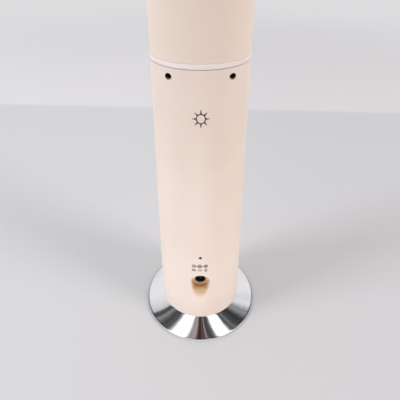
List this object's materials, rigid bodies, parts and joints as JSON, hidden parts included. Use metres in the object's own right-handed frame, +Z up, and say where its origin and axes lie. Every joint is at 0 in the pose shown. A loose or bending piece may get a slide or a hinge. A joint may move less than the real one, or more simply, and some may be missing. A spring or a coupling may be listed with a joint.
{
  "type": "desk lamp",
  "caption": "Cordless-style desk lamp: a round touch column on a flared bright foot, with a turning hinge block, a tilting tube arm and a tilting lamp head.",
  "frame": {"origin": "centre of the rubber ring's underside, on the table", "axes": "+Z up the column, -Y towards the power socket at the back, +Y the way the resting arm leans, +X to the right seen from the back"},
  "size_m": [0.083, 0.1869, 0.3435],
  "materials": {
    "cream_plastic": "satin moulded",
    "bright_chrome": "polished",
    "bright_cast": "polished die casting",
    "black_rubber": "matt",
    "zinc_steel": "zinc plated",
    "cast_weight": "as cast",
    "black_screw": "black oxide",
    "black_plastic": "moulded",
    "clear_plastic": "clear moulded",
    "board_green": "solder mask",
    "white_plastic": "moulded",
    "cell_green": "shrink sleeve over a can",
    "nickel_strip": "plain",
    "brass_part": "turned",
    "grey_foam": "open cell",
    "friction_fibre": "pressed fibre",
    "raw_aluminium": "extruded",
    "led_yellow": "phosphor",
    "opal_plastic": "opal"
  },
  "bodies": {
    "base": {"base_skirt": "bright_chrome", "foot_ring": "black_rubber", "base_plate": "zinc_steel", "ballast": "cast_weight", "base_screws": "black_screw", "column_shell": "cream_plastic", "jack_body": "black_plastic", "jack_pin": "zinc_steel", "status_light": "clear_plastic", "main_board": "board_green", "board_chips": "black_plastic", "inner_frame": "white_plastic", "battery_cells": "cell_green", "cell_straps": "nickel_strip", "touch_foil": "brass_part", "touch_foam": "grey_foam", "top_plug": "black_plastic", "grub_screws": "black_screw", "stop_pin": "zinc_steel", "swivel_bush": "brass_part", "trim_ring": "bright_chrome", "slip_washer": "white_plastic"},
    "hinge_block": {"turret_shell": "cream_plastic", "swivel_shaft": "zinc_steel", "flange_screws": "black_screw", "wave_washer": "zinc_steel", "stop_washer": "zinc_steel", "shaft_nut": "brass_part", "arm_pin": "zinc_steel", "pivot_caps": "bright_chrome", "friction_discs": "friction_fibre"},
    "arm": {"lower_knuckle": "bright_cast", "arm_tube": "bright_chrome", "tube_rivets": "zinc_steel", "upper_fork": "bright_cast", "head_pin": "zinc_steel", "fork_caps": "bright_chrome", "head_washers": "friction_fibre"},
    "head": {"head_bracket": "bright_cast", "bracket_screws": "black_screw", "head_shell": "cream_plastic", "head_cap": "cream_plastic", "heat_sink": "raw_aluminium", "led_board": "raw_aluminium", "led_chips": "led_yellow", "reflector": "white_plastic", "diffuser": "opal_plastic", "head_flare": "bright_chrome"}
  },
  "joints": [
    {"name": "block_turn", "type": "hinge", "parent": "base", "child": "hinge_block", "pos_m": [0, 0, 0.1884], "axis": [0, 0, 1], "range_deg": [-160, 160]},
    {"name": "arm_tilt", "type": "hinge", "parent": "hinge_block", "child": "arm", "pos_m": [0, 0, 0.2196], "axis": [1, 0, 0], "range_deg": [-30, 28]},
    {"name": "head_tilt", "type": "hinge", "parent": "arm", "child": "head", "pos_m": [0, 0.08004, 0.32204], "axis": [1, 0, 0], "range_deg": [-30, 75]}
  ]
}
